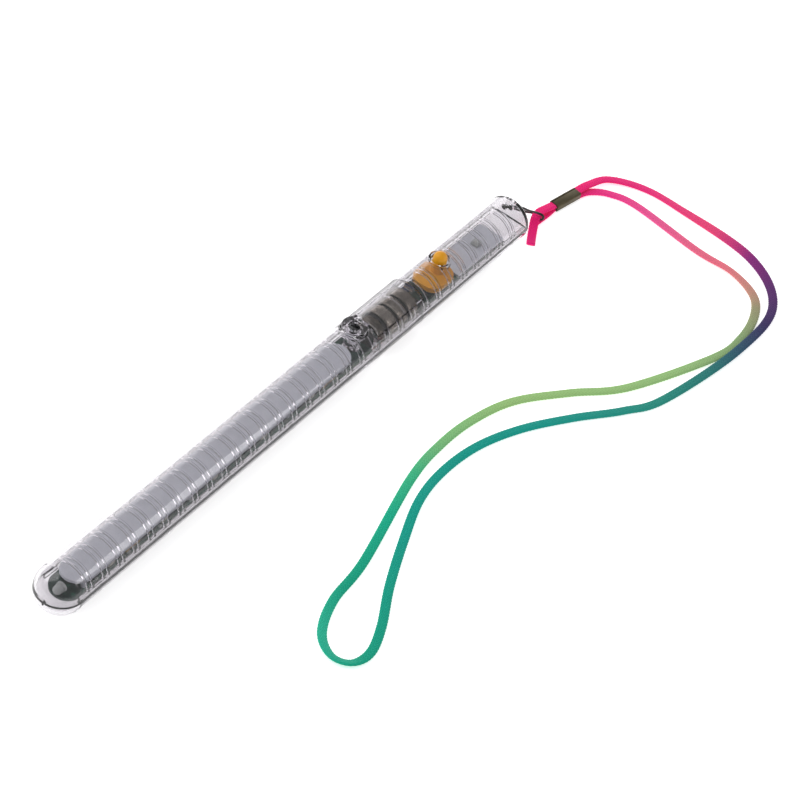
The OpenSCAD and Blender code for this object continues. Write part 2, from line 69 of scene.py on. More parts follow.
deselect()
camera_place = Vector((-0.5619, -0.3159, 0.6637))
camera_target = Vector((0.0288, -0.0207, 0.0))
camera_roll = math.radians(14.1)
bpy.ops.object.camera_add(location=camera_place)
camera = bpy.context.object
camera.name = "studio_camera"
camera.rotation_mode = "QUATERNION"
look = (camera_target - camera_place).to_track_quat("-Z", "Y")
camera.rotation_quaternion = look @ Quaternion((0, 0, 1), camera_roll)
camera.data.sensor_width = 36
camera.data.lens = 137.1
camera.data.clip_start = 0.01
camera.data.clip_end = 20
bpy.context.scene.camera = camera
bpy.context.scene.view_settings.view_transform = "Standard"


# ---- Floor and light ----
# A white sweep under a bright, even sky, with three soft boxes. The sky is
# a little darker towards the horizon, which draws the edges of the clear plastic.

def paint(red, green, blue):
    """A colour given as it looks on a screen, 0 to 255, as the shader wants it."""
    def linear(value):
        value = value / 255
        return value / 12.92 if value <= 0.04045 else ((value + 0.055) / 1.055) ** 2.4
    return (linear(red), linear(green), linear(blue), 1.0)


def new_material(name):
    made = bpy.data.materials.new(name)
    made.use_nodes = True
    return made, made.node_tree, made.node_tree.nodes["Principled BSDF"]


floor_side, floor_glow, sky_strength = 8, 0.55, 0.6
bpy.ops.mesh.primitive_plane_add(size=floor_side, location=(0, 0, 0))
floor = bpy.context.object
floor.name = "floor"
floor_paper, _, shader = new_material("white_paper")
shader.inputs["Base Color"].default_value = paint(250, 250, 250)
shader.inputs["Roughness"].default_value = 0.9
shader.inputs["Specular IOR Level"].default_value = 0.1
shader.inputs["Emission Color"].default_value = (1, 1, 1, 1)
shader.inputs["Emission Strength"].default_value = floor_glow
floor.data.materials.append(floor_paper)

sky = bpy.data.worlds.new("studio_sky")
bpy.context.scene.world = sky
sky.use_nodes = True
tree = sky.node_tree
background = tree.nodes["Background"]
where = tree.nodes.new("ShaderNodeTexCoord")
split = tree.nodes.new("ShaderNodeSeparateXYZ")
tree.links.new(where.outputs["Generated"], split.inputs["Vector"])
height = tree.nodes.new("ShaderNodeValToRGB")
height.color_ramp.elements[0].position = 0.0
height.color_ramp.elements[0].color = (0.82, 0.8, 0.84, 1)
height.color_ramp.elements[1].position = 0.55
height.color_ramp.elements[1].color = (1, 1, 1, 1)
tree.links.new(split.outputs["Z"], height.inputs["Fac"])
tree.links.new(height.outputs["Color"], background.inputs["Color"])
background.inputs["Strength"].default_value = sky_strength


def soft_box(name, place, width, length, power):
    """A rectangular soft box that faces the middle of the barrel."""
    bpy.ops.object.light_add(type="AREA", location=place)
    box = bpy.context.object
    box.name = name
    box.data.shape = "RECTANGLE"
    box.data.size = width
    box.data.size_y = length
    box.data.energy = power
    box.rotation_mode = "QUATERNION"
    box.rotation_quaternion = (-Vector(place)).to_track_quat("-Z", "Y")


soft_box("key_box", (-0.35, 0.75, 0.9), 0.9, 1.3, 7)
# The side box lies where the barrel's far flank mirrors it, all along the barrel
soft_box("side_box", (0.78, 0.74, 0.36), 1.1, 0.5, 3.0)
# The small box draws a bright line on the near flank towards the round tip
soft_box("fill_box", (0.37, -0.53, 0.34), 0.16, 0.3, 0.45)


# ---- Wrist strap ----
# A flat braided polyester strap, 3 mm wide and 1 mm thick, dyed in one run from
# hot pink through purple and green and back. Both its ends go into the crimp.

def smooth_route(points, steps):
    """A smooth run through [x, y, z, lean], with so many steps between two points."""
    points = np.array(points, float)
    run = []
    for i in range(len(points) - 1):
        before, here = points[max(i - 1, 0)], points[i]
        there, after = points[i + 1], points[min(i + 2, len(points) - 1)]
        for step in range(steps):
            t = step / steps
            run.append(0.5 * (2 * here + (there - before) * t
                              + (2 * before - 5 * here + 4 * there - after) * t * t
                              + (3 * here - before - 3 * there + after) * t ** 3))
    run.append(points[-1])
    return np.array(run)


def even_run(run, spacing):
    """The same run with its points a fixed distance apart, and how far along each is."""
    gaps = np.linalg.norm(np.diff(run[:, :3], axis=0), axis=1)
    along = np.concatenate([[0], np.cumsum(gaps)])
    count = max(2, int(round(along[-1] / spacing)) + 1)
    wanted = np.linspace(0, along[-1], count)
    return np.stack([np.interp(wanted, along, run[:, k]) for k in range(4)], axis=1), wanted


def braid(name, route, width, thick, pick=1.15):
    """A flat braid along a route in mm. Its UV map has the width as x and the length,
    in widths, as y, and its edge bulges a little at each pick of the braid."""
    steps_between, ring_gap, corners, edge_bulge = 24, 0.3, 16, 0.035
    squareness, flatness = 0.6, 0.75
    run, along = even_run(smooth_route(route, steps_between), ring_gap)
    place, lean = run[:, :3], np.radians(run[:, 3])
    ahead = np.gradient(place, axis=0)
    ahead /= np.linalg.norm(ahead, axis=1)[:, None]
    side = np.cross([0, 0, 1], ahead)
    side /= np.linalg.norm(side, axis=1)[:, None]
    over = np.cross(ahead, side)
    across = side * np.cos(lean)[:, None] + over * np.sin(lean)[:, None]
    up = over * np.cos(lean)[:, None] - side * np.sin(lean)[:, None]
    angle = np.arange(corners) * 2 * math.pi / corners
    flat_x = np.sign(np.cos(angle)) * np.abs(np.cos(angle)) ** squareness
    flat_y = np.sign(np.sin(angle)) * np.abs(np.sin(angle)) ** flatness
    bulge = 1 + edge_bulge * np.sin(2 * math.pi * along / pick)
    rings = (place[:, None, :]
             + across[:, None, :] * (flat_x[None, :] * bulge[:, None] * width / 2)[:, :, None]
             + up[:, None, :] * (flat_y * thick / 2)[None, :, None])
    count = len(run)
    spots = (rings.reshape(-1, 3) * mm).tolist()
    faces = []
    for i in range(count - 1):
        here, after = i * corners, (i + 1) * corners
        for j in range(corners):
            k = (j + 1) % corners
            faces.append((here + j, after + j, after + k, here + k))
    faces.append(tuple(range(corners)))
    faces.append(tuple((count - 1) * corners + j for j in reversed(range(corners))))
    mesh = bpy.data.meshes.new(name)
    mesh.from_pydata(spots, [], faces)
    weave = mesh.uv_layers.new(name="weave")
    spot_of_corner = np.zeros(len(mesh.loops), int)
    mesh.loops.foreach_get("vertex_index", spot_of_corner)
    u = (np.tile(flat_x, count) + 1) / 2
    v = np.repeat(along / width, corners)
    flat = np.stack([u[spot_of_corner], v[spot_of_corner]], axis=1)
    weave.data.foreach_set("uv", flat.ravel())
    along_way = mesh.attributes.new("along", "FLOAT", "POINT")
    along_way.data.foreach_set("value", np.repeat(along / along[-1], corners))
    for face in mesh.polygons:
        face.use_smooth = True
    mesh.update()
    piece = bpy.data.objects.new(name, mesh)
    bpy.context.scene.collection.objects.link(piece)
    return piece, place, along[-1]


strap_width = 3.0
strap_thick = 1.0
# Along the loop's middle in mm, and how far the strap leans, in degrees
strap_route = [
    (148.1, -5.8, 2, 0), (154, -6.9, 2, 0), (162, -10, 1.4, 0), (168, -20, 0.6, 0),
    (169, -34, 0.6, 0), (166, -65, 1.2, 40), (151, -83, 1.8, 10), (125, -85.5, 1.7, 0),
    (90, -80, 0.6, 0), (76, -73.5, 0.7, 0), (62, -64, 0.6, 0), (46, -55, 0.6, 0),
    (30, -49.5, 0.6, 0), (14, -48, 0.6, 0), (-1, -50, 0.8, 10), (-17, -56, 0.6, 0),
    (-34, -63.5, 0.6, 0), (-48, -71, 0.6, 0), (-58, -74.5, 0.7, 0), (-65, -73, 1.1, 20),
    (-67, -67, 1.1, 20), (-62, -60, 0.8, 10), (-50, -55, 0.6, 0), (-32, -52.5, 0.6, 0),
    (4, -43, 0.6, 0), (22, -41, 0.6, 0), (38, -42, 0.6, 0), (54, -46.5, 0.6, 0),
    (70, -57, 0.6, 0), (86, -69, 0.6, 0), (118, -81.5, 0.6, 0), (132, -83, 0.6, 0),
    (144, -80.5, 0.6, 0), (152, -75, 0.6, 0), (156, -64, 0.8, 10), (156, -50, 0.6, 0),
    (159, -24, 0.6, 0), (157, -14, 0.6, 0), (152.6, -8.6, 0.7, 0), (148.2, -6.7, 0.8, 0),
]
strap, strap_line, strap_length = braid("strap_braid", strap_route, strap_width, strap_thick)

# The dye along the loop: how far along, and the colour there
strap_dyes = [
    (0.0, (252, 24, 120)), (0.04, (250, 48, 132)), (0.085, (248, 78, 130)),
    (0.1, (205, 62, 130)), (0.112, (140, 45, 128)), (0.135, (96, 46, 112)),
    (0.165, (58, 48, 98)), (0.19, (48, 90, 112)), (0.215, (40, 130, 124)),
    (0.25, (38, 150, 134)), (0.31, (10, 160, 146)), (0.42, (2, 166, 146)),
    (0.5, (6, 168, 136)), (0.53, (42, 190, 156)), (0.56, (6, 168, 134)),
    (0.61, (14, 184, 146)), (0.64, (64, 194, 140)), (0.665, (130, 200, 132)),
    (0.71, (163, 206, 130)), (0.8, (160, 204, 132)), (0.85, (146, 176, 124)),
    (0.875, (164, 160, 124)), (0.89, (214, 150, 136)), (0.91, (246, 118, 138)),
    (0.955, (248, 94, 158)), (0.98, (252, 60, 146)), (1.0, (250, 30, 124)),
]


def braid_group():
    """The braid's threads: yarns that run slantwise and meet in small chevrons."""
    group = bpy.data.node_groups.new("flat_braid", "ShaderNodeTree")
    group.interface.new_socket("Weave", in_out="INPUT", socket_type="NodeSocketVector")
    group.interface.new_socket("Colour", in_out="INPUT", socket_type="NodeSocketColor")
    group.interface.new_socket("Picks", in_out="INPUT", socket_type="NodeSocketFloat")
    group.interface.new_socket("Colour", in_out="OUTPUT", socket_type="NodeSocketColor")
    group.interface.new_socket("Height", in_out="OUTPUT", socket_type="NodeSocketFloat")
    group.interface.new_socket("Roughness", in_out="OUTPUT", socket_type="NodeSocketFloat")
    nodes, links = group.nodes, group.links
    taken = nodes.new("NodeGroupInput")
    given = nodes.new("NodeGroupOutput")

    def sum_of(kind, a, b=None, c=None):
        step = nodes.new("ShaderNodeMath")
        step.operation = kind
        for k, value in enumerate((a, b, c)):
            if value is None:
                continue
            if isinstance(value, (int, float)):
                step.inputs[k].default_value = value
            else:
                links.new(value, step.inputs[k])
        return step.outputs[0]

    axes = nodes.new("ShaderNodeSeparateXYZ")
    links.new(taken.outputs["Weave"], axes.inputs["Vector"])
    column = sum_of("PINGPONG", axes.outputs["X"], 0.25)
    picks = sum_of("MULTIPLY", axes.outputs["Y"], taken.outputs["Picks"])
    slant = sum_of("MULTIPLY_ADD", column, 5.0, picks)
    yarn = sum_of("MULTIPLY_ADD", sum_of("SINE", sum_of("MULTIPLY", slant, 2 * math.pi)), 0.5, 0.5)
    valley = sum_of("MULTIPLY", sum_of("ABSOLUTE", sum_of("SUBTRACT", column, 0.125)), 8.0)
    edge = sum_of("SUBTRACT", 1.0, sum_of("POWER", valley, 4.0))
    crown = sum_of("MULTIPLY_ADD", edge, 0.6, 0.4)
    height = sum_of("MULTIPLY", sum_of("POWER", yarn, 0.6), crown)
    hair = nodes.new("ShaderNodeTexNoise")
    hair.inputs["Scale"].default_value = 14.0
    hair.inputs["Detail"].default_value = 6.0
    hair.inputs["Roughness"].default_value = 0.7
    links.new(taken.outputs["Weave"], hair.inputs["Vector"])
    fuzzy = sum_of("MULTIPLY_ADD", hair.outputs["Fac"], 0.35, height)
    # Painted shade: the dye is darkened towards the valleys between the yarns and between the
    # columns, where shade falls, and the hairy noise adds a random tone on top
    dye_with_painted_shade = nodes.new("ShaderNodeMix")
    dye_with_painted_shade.data_type = "RGBA"
    dye_with_painted_shade.blend_type = "MULTIPLY"
    dye_with_painted_shade.inputs["Factor"].default_value = 0.55
    painted_shade_ramp = nodes.new("ShaderNodeValToRGB")
    painted_shade_ramp.color_ramp.elements[0].color = (0.45, 0.45, 0.45, 1)
    painted_shade_ramp.color_ramp.elements[1].color = (1, 1, 1, 1)
    painted_shade_ramp.color_ramp.elements[1].position = 0.8
    links.new(fuzzy, painted_shade_ramp.inputs["Fac"])
    links.new(taken.outputs["Colour"], dye_with_painted_shade.inputs["A"])
    links.new(painted_shade_ramp.outputs["Color"], dye_with_painted_shade.inputs["B"])
    links.new(dye_with_painted_shade.outputs["Result"], given.inputs["Colour"])
    links.new(fuzzy, given.inputs["Height"])
    links.new(sum_of("MULTIPLY_ADD", height, -0.2, 0.8), given.inputs["Roughness"])
    return group


flat_braid = braid_group()


def braid_material(name, dyes):
    """Dyed braid: the colour follows the strap's length, and the threads its UV map."""
    made, tree, shader = new_material(name)
    nodes, links = tree.nodes, tree.links
    along = nodes.new("ShaderNodeAttribute")
    along.attribute_name = "along"
    dye = nodes.new("ShaderNodeValToRGB")
    ramp = dye.color_ramp
    while len(ramp.elements) < len(dyes):
        ramp.elements.new(0.5)
    for element, (place, colour) in zip(ramp.elements, dyes):
        element.position = place
        element.color = paint(*colour)
    links.new(along.outputs["Fac"], dye.inputs["Fac"])
    weave = nodes.new("ShaderNodeUVMap")
    weave.uv_map = "weave"
    threads = nodes.new("ShaderNodeGroup")
    threads.node_tree = flat_braid
    threads.inputs["Picks"].default_value = 2.6
    links.new(weave.outputs["UV"], threads.inputs["Weave"])
    links.new(dye.outputs["Color"], threads.inputs["Colour"])
    links.new(threads.outputs["Colour"], shader.inputs["Base Color"])
    links.new(threads.outputs["Roughness"], shader.inputs["Roughness"])
    bump = nodes.new("ShaderNodeBump")
    bump.inputs["Strength"].default_value = 0.9
    bump.inputs["Distance"].default_value = 0.12 * mm
    links.new(threads.outputs["Height"], bump.inputs["Height"])
    links.new(bump.outputs["Normal"], shader.inputs["Normal"])
    shader.inputs["Sheen Weight"].default_value = 0.08
    shader.inputs["Sheen Roughness"].default_value = 0.5
    shader.inputs["Specular IOR Level"].default_value = 0.15
    return made


strap.data.materials.append(braid_material("rainbow_braid", strap_dyes))
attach(strap, "lanyard")
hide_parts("strap")

pink_dyes = [(0.0, (250, 30, 124)), (0.5, (252, 18, 118)), (1.0, (250, 34, 128))]
pink_braid = braid_material("pink_braid", pink_dyes)
tail_route = [
    (136.6, -4.4, 2, 0), (133, -3.8, 2.4, 0), (129.6, -3.3, 2.7, 0), (126.4, -3.9, 2.6, 0),
    (123.2, -5.5, 1.4, 0), (119.8, -7.4, 0.6, 0), (116.5, -9.3, 0.6, 0),
]
strap_tail, _, _ = braid("tail_braid", tail_route, strap_width, strap_thick)
tuck_route = [
    (136.1, -4.4, 0.8, 0), (133.5, -4.5, 0.7, 0), (130.5, -4.4, 0.6, 0), (126.5, -4.2, 0.6, 0),
]
strap_tuck, _, _ = braid("tuck_braid", tuck_route, strap_width, strap_thick)
for piece, node in ((strap_tail, "strap_tail"), (strap_tuck, "strap_tuck")):
    piece.data.materials.append(pink_braid)
    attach(piece, "lanyard")
    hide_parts(node)


# ---- Ferrule ----
# A strip of antique bronze sheet, rolled round both ends of the strap and pressed
# flat. The fold's seam runs along it, and its mouths are rolled over.

def work_on(piece):
    """Make this piece the only one that an operator acts on."""
    deselect()
    piece.select_set(True)
    bpy.context.view_layer.objects.active = piece


def set_place(piece):
    """Put a new primitive's place and turn into its mesh."""
    work_on(piece)
    bpy.ops.object.transform_apply(location=True, rotation=True, scale=True)


def open_mesh(piece):
    """Edit a piece's mesh, with nothing in it selected."""
    work_on(piece)
    bpy.ops.object.mode_set(mode="EDIT")
    bpy.ops.mesh.select_mode(type="FACE")
    bpy.ops.mesh.select_all(action="DESELECT")


def close_mesh():
    bpy.ops.object.mode_set(mode="OBJECT")


# A face whose normal has this much of an axis in it faces along that axis
facing = 0.9


def pick_faces(piece, wanted):
    """Select the faces whose middle and normal suit wanted(middle in mm, normal)."""
    bpy.ops.mesh.select_mode(type="FACE")
    bpy.ops.mesh.select_all(action="DESELECT")
    data = bmesh.from_edit_mesh(piece.data)
    data.faces.ensure_lookup_table()
    for face in data.faces:
        face.select_set(bool(wanted(face.calc_center_median() / mm, face.normal)))
    bmesh.update_edit_mesh(piece.data)


def pick_edges(piece, wanted):
    """Select the edges whose two ends, in mm, suit wanted(one, other)."""
    bpy.ops.mesh.select_mode(type="EDGE")
    bpy.ops.mesh.select_all(action="DESELECT")
    data = bmesh.from_edit_mesh(piece.data)
    for edge in data.edges:
        edge.select_set(bool(wanted(edge.verts[0].co / mm, edge.verts[1].co / mm)))
    bmesh.update_edit_mesh(piece.data)


def push(step):
    """Extrude what is selected by a step in mm."""
    far = tuple(Vector(step) * mm)
    bpy.ops.mesh.extrude_region_move(TRANSFORM_OT_translate={"value": far})


def shrink(ratio, middle, axis):
    """Scale what is selected about a point in mm, across an axis."""
    value = tuple(1.0 if k == axis else ratio for k in range(3))
    bpy.ops.transform.resize(value=value, center_override=tuple(Vector(middle) * mm))


def smooth(piece, angle=35):
    """Shade a piece smooth, but for edges sharper than the angle in degrees."""
    work_on(piece)
    bpy.ops.object.shade_smooth_by_angle(angle=math.radians(angle))


def wear_group():
    """Handling marks: slow changes of tone, fine grain, and a rubbed colour."""
    group = bpy.data.node_groups.new("handled_surface", "ShaderNodeTree")
    for name, kind in (("Place", "NodeSocketVector"), ("Colour", "NodeSocketColor"),
                       ("Rubbed Colour", "NodeSocketColor"), ("Wear", "NodeSocketFloat"),
                       ("Roughness", "NodeSocketFloat"), ("Spread", "NodeSocketFloat")):
        group.interface.new_socket(name, in_out="INPUT", socket_type=kind)
    for name, kind in (("Colour", "NodeSocketColor"), ("Roughness", "NodeSocketFloat"),
                       ("Height", "NodeSocketFloat")):
        group.interface.new_socket(name, in_out="OUTPUT", socket_type=kind)
    nodes, links = group.nodes, group.links
    taken = nodes.new("NodeGroupInput")
    given = nodes.new("NodeGroupOutput")
    marks = nodes.new("ShaderNodeTexNoise")
    marks.inputs["Scale"].default_value = 420
    marks.inputs["Detail"].default_value = 5
    grain = nodes.new("ShaderNodeTexNoise")
    grain.inputs["Scale"].default_value = 2600
    grain.inputs["Detail"].default_value = 3
    for noise in (marks, grain):
        links.new(taken.outputs["Place"], noise.inputs["Vector"])
    rubbed = nodes.new("ShaderNodeMapRange")
    rubbed.inputs["From Min"].default_value = 0.42
    rubbed.inputs["From Max"].default_value = 0.68
    links.new(marks.outputs["Fac"], rubbed.inputs["Value"])
    amount = nodes.new("ShaderNodeMath")
    amount.operation = "MULTIPLY"
    links.new(rubbed.outputs["Result"], amount.inputs[0])
    links.new(taken.outputs["Wear"], amount.inputs[1])
    tone = nodes.new("ShaderNodeMix")
    tone.data_type = "RGBA"
    links.new(amount.outputs[0], tone.inputs["Factor"])
    links.new(taken.outputs["Colour"], tone.inputs["A"])
    links.new(taken.outputs["Rubbed Colour"], tone.inputs["B"])
    links.new(tone.outputs["Result"], given.inputs["Colour"])
    centred = nodes.new("ShaderNodeMath")
    centred.operation = "SUBTRACT"
    links.new(marks.outputs["Fac"], centred.inputs[0])
    centred.inputs[1].default_value = 0.5
    rough = nodes.new("ShaderNodeMath")
    rough.operation = "MULTIPLY_ADD"
    rough.use_clamp = True
    links.new(centred.outputs[0], rough.inputs[0])
    links.new(taken.outputs["Spread"], rough.inputs[1])
    links.new(taken.outputs["Roughness"], rough.inputs[2])
    links.new(rough.outputs[0], given.inputs["Roughness"])
    links.new(grain.outputs["Fac"], given.inputs["Height"])
    return group


handled_surface = wear_group()


def surface(name, colour, rubbed, wear=0.5, rough=0.4, spread=0.3, metal=0.0, grain=0.01,
            stretch=(1, 1, 1), specular=0.5):
    """A moulded or plated finish with handling marks. Grain is its depth in mm, and
    stretch draws the marks out along the axis that has the smallest value."""
    made, tree, shader = new_material(name)
    nodes, links = tree.nodes, tree.links
    place = nodes.new("ShaderNodeTexCoord")
    drawn = nodes.new("ShaderNodeMapping")
    drawn.inputs["Scale"].default_value = stretch
    links.new(place.outputs["Object"], drawn.inputs["Vector"])
    marks = nodes.new("ShaderNodeGroup")
    marks.node_tree = handled_surface
    marks.inputs["Colour"].default_value = paint(*colour)
    marks.inputs["Rubbed Colour"].default_value = paint(*rubbed)
    marks.inputs["Wear"].default_value = wear
    marks.inputs["Roughness"].default_value = rough
    marks.inputs["Spread"].default_value = spread
    links.new(drawn.outputs["Vector"], marks.inputs["Place"])
    links.new(marks.outputs["Colour"], shader.inputs["Base Color"])
    links.new(marks.outputs["Roughness"], shader.inputs["Roughness"])
    bump = nodes.new("ShaderNodeBump")
    bump.inputs["Strength"].default_value = 0.6
    bump.inputs["Distance"].default_value = grain * mm
    links.new(marks.outputs["Height"], bump.inputs["Height"])
    links.new(bump.outputs["Normal"], shader.inputs["Normal"])
    shader.inputs["Metallic"].default_value = metal
    shader.inputs["Specular IOR Level"].default_value = specular
    return made, tree, shader, marks


def give(piece, material, body, slot, *nodes):
    """Finish a piece: its material, the body that it rides on, and what it replaces."""
    piece.data.materials.clear()
    piece.data.materials.append(material)
    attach(piece, body)
    if nodes:
        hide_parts(*nodes)


ferrule_length, ferrule_width, ferrule_height = 11.4, 3.8, 2.6
ferrule_turn = math.radians(171)
ferrule_end = Vector((148, -6.2, 1.4))
ferrule_way = Vector((math.cos(ferrule_turn), math.sin(ferrule_turn), 0))
ferrule_middle = ferrule_end + ferrule_way * ferrule_length / 2
fold_low, fold_high, fold_deep, ferrule_round, ferrule_wear = -1.3, -0.95, 0.3, 0.55, 0.07

deselect()
bpy.ops.mesh.primitive_cube_add(size=mm)
ferrule = bpy.context.object
ferrule.name = "crimp"
ferrule.scale = (ferrule_length, ferrule_width, ferrule_height)
set_place(ferrule)
open_mesh(ferrule)
for across in (fold_low, fold_high):
    bpy.ops.mesh.select_all(action="SELECT")
    bpy.ops.mesh.bisect(plane_co=(0, across * mm, 0), plane_no=(0, 1, 0))
pick_faces(ferrule, lambda middle, normal: normal.z > facing and fold_low < middle.y < fold_high)
bpy.ops.mesh.inset(thickness=0.04 * mm, depth=-fold_deep * mm)
pick_edges(ferrule, lambda a, b: abs(abs(a.y) - ferrule_width / 2) < 0.01
           and abs(abs(b.y) - ferrule_width / 2) < 0.01 and abs(a.x - b.x) > 5)
bpy.ops.mesh.bevel(offset=ferrule_round * mm, segments=5, affect="EDGES")
for side in (-1, 1):
    pick_faces(ferrule, lambda middle, normal: normal.x * side > facing)
    bpy.ops.mesh.inset(thickness=0.3 * mm, depth=0)
    push((-0.12 * side, 0, 0))
close_mesh()
bevel = ferrule.modifiers.new("worn_edges", "BEVEL")
bevel.width = ferrule_wear * mm
bevel.segments = 2
bevel.limit_method = "ANGLE"
work_on(ferrule)
bpy.ops.object.modifier_apply(modifier="worn_edges")
ferrule.rotation_euler = (0, 0, ferrule_turn)
ferrule.location = ferrule_middle * mm
set_place(ferrule)
smooth(ferrule)
bronze = surface("bronze_crimp", (76, 69, 50), (112, 102, 78), wear=0.5, rough=0.45,
                 metal=0.75, grain=0.03, stretch=(0.25, 1, 1))[0]
give(ferrule, bronze, "lanyard", "bronze_crimp", "ferrule")


# ---- Wire ring ----
# One piece of hard steel wire, blackened, bent to a long narrow loop. It goes through
# both holes in the barrel's end, over the strap and back between its two layers.

def bent_wire(name, points, thick, closed=False, around=5):
    """Round wire along a smooth line through points in mm."""
    deselect()
    bpy.ops.curve.primitive_bezier_curve_add()
    wire = bpy.context.object
    wire.name = name
    line = wire.data
    line.dimensions = "3D"
    line.splines.clear()
    run = line.splines.new("BEZIER")
    run.bezier_points.add(len(points) - 1)
    for knot, point in zip(run.bezier_points, points):
        knot.co = Vector(point) * mm
        knot.handle_left_type = knot.handle_right_type = "AUTO"
    run.use_cyclic_u = closed
    line.resolution_u = 6
    line.bevel_depth = thick / 2 * mm
    line.bevel_resolution = around
    line.use_fill_caps = not closed
    work_on(wire)
    bpy.ops.object.convert(target="MESH")
    wire = bpy.context.object
    set_place(wire)
    open_mesh(wire)
    bpy.ops.mesh.select_all(action="SELECT")
    bpy.ops.mesh.remove_doubles(threshold=0.001 * mm)
    bpy.ops.mesh.normals_make_consistent(inside=False)
    close_mesh()
    smooth(wire, 60)
    return wire


flat_end, barrel_axis = 115.0, 8.0
# From the middle of the barrel's flat end, in mm
ring_line = [
    (-1.9, 0.35, 4.45), (0, -0.05, 4), (3, -0.95, 2.7), (8, -2.9, -1), (12.2, -4.6, -3.8),
    (12.9, -5.4, -4.4), (13.1, -5.8, -5.3), (13, -5.6, -6.1), (12.9, -4.9, -6.4),
    (13.1, -3.4, -6.4),
    (13.2, -2.1, -6.2), (12.6, -1.4, -5.7), (11.2, -0.9, -5), (8.4, -0.1, -3.1), (5.5, 0.6, -1),
    (2.5, 1.4, 1.3), (0, 2.15, 2.8), (-1.9, 2.5, 3.3), (-2.6, 2, 3.9), (-2.7, 1.1, 4.4),
]
ring_thick = 0.8
ring_knots = [(flat_end + x, y, barrel_axis + z) for x, y, z in ring_line]
ring = bent_wire("ring_wire", ring_knots, ring_thick, closed=True)
black_wire = surface("black_wire", (16, 16, 17), (70, 68, 66), wear=0.35, rough=0.3, metal=0.6,
                     grain=0.006)[0]
give(ring, black_wire, "lanyard", "black_wire", "wire_ring")


# ---- Clear barrel ----
# Two half shells and a battery door, injection moulded in clear plastic with
# pairs of fine ribs inside, welded along the seam.

def clear_material(name, tint, rough, smoke, density):
    """Clear plastic that casts no shadow of its own, with a little smoke in its body."""
    made, tree, shader = new_material(name)
    nodes, links = tree.nodes, tree.links
    place = nodes.new("ShaderNodeTexCoord")
    marks = nodes.new("ShaderNodeGroup")
    marks.node_tree = handled_surface
    marks.inputs["Colour"].default_value = tint
    marks.inputs["Rubbed Colour"].default_value = [0.97 * part for part in tint[:3]] + [1]
    marks.inputs["Wear"].default_value = 1.0
    marks.inputs["Roughness"].default_value = rough
    marks.inputs["Spread"].default_value = 0.08
    links.new(place.outputs["Object"], marks.inputs["Place"])
    links.new(marks.outputs["Colour"], shader.inputs["Base Color"])
    links.new(marks.outputs["Roughness"], shader.inputs["Roughness"])
    shader.inputs["Transmission Weight"].default_value = 1.0
    shader.inputs["IOR"].default_value = 1.47
    path = nodes.new("ShaderNodeLightPath")
    see_through = nodes.new("ShaderNodeBsdfTransparent")
    see_through.inputs["Color"].default_value = (1, 1, 1, 1)
    either = nodes.new("ShaderNodeMixShader")
    links.new(path.outputs["Is Shadow Ray"], either.inputs["Fac"])
    links.new(shader.outputs["BSDF"], either.inputs[1])
    links.new(see_through.outputs["BSDF"], either.inputs[2])
    links.new(either.outputs["Shader"], nodes["Material Output"].inputs["Surface"])
    body = nodes.new("ShaderNodeVolumeAbsorption")
    body.inputs["Color"].default_value = smoke
    body.inputs["Density"].default_value = density
    links.new(body.outputs["Volume"], nodes["Material Output"].inputs["Volume"])
    return made


def dress(material, *nodes):
    """Give CAD pieces that keep their shape a finish."""
    for node in nodes:
        piece = frame["nodes"][node]
        piece.data.materials.clear()
        piece.data.materials.append(material)


# The plastic is faintly smoky, which shows where a wall is seen along its length
clear_plastic = clear_material("clear_plastic", tint=(0.75, 0.735, 0.755, 1), rough=0.03,
                               smoke=(0.463, 0.407, 0.516, 1), density=30)
dress(clear_plastic, "upper_shell", "lower_shell", "battery_door")


# ---- Light bar and reflector ----
# A long frosted strip over the main board and a short one on the tail board, cut
# from opal sheet. They spread the light of the LEDs under them.

frosted = surface("frosted_plastic", (190, 193, 200), (200, 202, 208), wear=0.6, rough=0.5,
                  spread=0.15, grain=0.012, specular=0.45)[0]
dress(frosted, "light_bar", "tail_reflector")


# ---- Circuit boards ----
# Glass-fibre boards with a dark green solder mask over the copper, tinned pads, and
# hand-soldered joints along both edges.

def board_material():
    """Green solder mask over copper, whose tracks show as a slightly lighter net."""
    made, tree, shader, marks = surface("green_board", (10, 62, 46), (22, 84, 62), wear=0.8,
                                        rough=0.3, spread=0.2, grain=0.01)
    nodes, links = tree.nodes, tree.links
    place = nodes.new("ShaderNodeTexCoord")
    copper = nodes.new("ShaderNodeTexVoronoi")
    copper.distance = "MANHATTAN"
    copper.inputs["Scale"].default_value = 330
    links.new(place.outputs["Object"], copper.inputs["Vector"])
    track = nodes.new("ShaderNodeMapRange")
    track.inputs["From Min"].default_value = 0.32
    track.inputs["From Max"].default_value = 0.38
    links.new(copper.outputs["Distance"], track.inputs["Value"])
    mask = nodes.new("ShaderNodeMix")
    mask.data_type = "RGBA"
    mask.inputs["B"].default_value = paint(6, 40, 32)
    links.new(track.outputs["Result"], mask.inputs["Factor"])
    links.new(marks.outputs["Colour"], mask.inputs["A"])
    links.new(mask.outputs["Result"], shader.inputs["Base Color"])
    return made


dress(board_material(), "main_board", "tail_board")
board_top = 7.0

